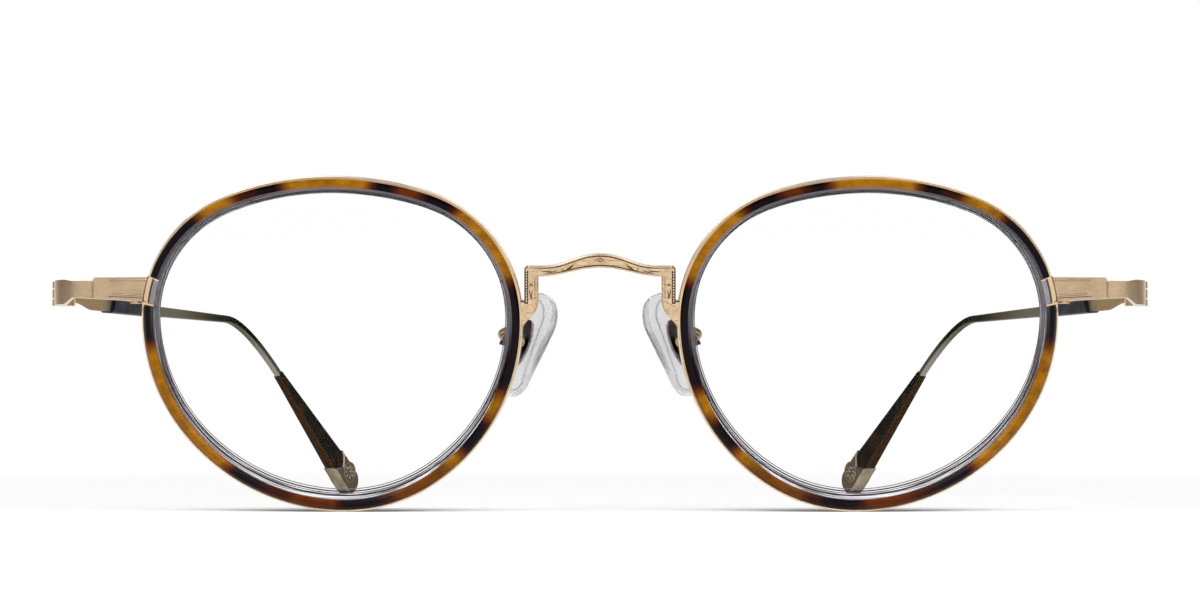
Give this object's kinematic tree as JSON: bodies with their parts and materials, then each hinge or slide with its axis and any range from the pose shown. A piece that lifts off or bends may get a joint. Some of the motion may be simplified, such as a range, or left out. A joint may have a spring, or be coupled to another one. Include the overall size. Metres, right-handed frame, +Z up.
{
  "type": "eyeglasses frame",
  "caption": "Round gold metal eyeglasses with tortoise acetate rings set in the rims, an engraved bridge, clear nose pads and folding temples with dark tips.",
  "frame": {"origin": "On the ground plane, midway between the two temples and midway between the front of the frame and the ends of the tips.", "axes": "+Z is up, -Y is the way the frame faces, +X is the wearer's left."},
  "size_m": [0.1436, 0.1387, 0.043],
  "materials": {
    "champagne_gold": "satin",
    "temple_metal": "satin",
    "steel": "satin",
    "tortoise_acetate": "gloss",
    "dark_acetate": "gloss",
    "lens_glass": "gloss",
    "clear_pad": "gloss"
  },
  "bodies": {
    "front": {"bridge": "champagne_gold", "lens_left": "lens_glass", "lens_right": "lens_glass", "rim_left": "champagne_gold", "rim_right": "champagne_gold", "acetate_rim_left": "tortoise_acetate", "acetate_rim_right": "tortoise_acetate", "end_piece_left": "champagne_gold", "end_piece_right": "champagne_gold", "closing_block_left": "champagne_gold", "closing_block_right": "champagne_gold", "rim_screw_left": "steel", "rim_screw_right": "steel", "hinge_front_left": "champagne_gold", "hinge_front_right": "champagne_gold", "hinge_screw_left": "steel", "hinge_screw_right": "steel", "pad_arm_left": "champagne_gold", "pad_arm_right": "champagne_gold", "pad_box_left": "champagne_gold", "pad_box_right": "champagne_gold", "pad_screw_left": "steel", "pad_screw_right": "steel"},
    "temple_assembly_left": {"temple_left": "temple_metal", "hinge_temple_left": "champagne_gold", "temple_sleeve_left": "dark_acetate", "temple_tip_left": "tortoise_acetate", "tip_cap_left": "champagne_gold"},
    "pad_assembly_left": {"nose_pad_left": "clear_pad", "pad_core_left": "steel"},
    "temple_assembly_right": {"temple_right": "temple_metal", "hinge_temple_right": "champagne_gold", "temple_sleeve_right": "dark_acetate", "temple_tip_right": "tortoise_acetate", "tip_cap_right": "champagne_gold"},
    "pad_assembly_right": {"nose_pad_right": "clear_pad", "pad_core_right": "steel"}
  },
  "joints": [
    {"name": "temple_fold_left", "type": "hinge", "parent": "front", "child": "temple_assembly_left", "pos_m": [0.07035, -0.0556, 0.02833], "axis": [0, 0, 1], "range_deg": [0, 78]},
    {"name": "temple_fold_right", "type": "hinge", "parent": "front", "child": "temple_assembly_right", "pos_m": [-0.07035, -0.0556, 0.02833], "axis": [0, 0, -1], "range_deg": [0, 68]},
    {"name": "pad_rock_left", "type": "hinge", "parent": "front", "child": "pad_assembly_left", "pos_m": [0.01109, -0.05994, 0.02213], "axis": [-0.5561, -0.8061, -0.2024], "range_deg": [-10, 10]},
    {"name": "pad_rock_right", "type": "hinge", "parent": "front", "child": "pad_assembly_right", "pos_m": [-0.01109, -0.05994, 0.02213], "axis": [0.5561, -0.8061, -0.2024], "range_deg": [-10, 10]}
  ]
}
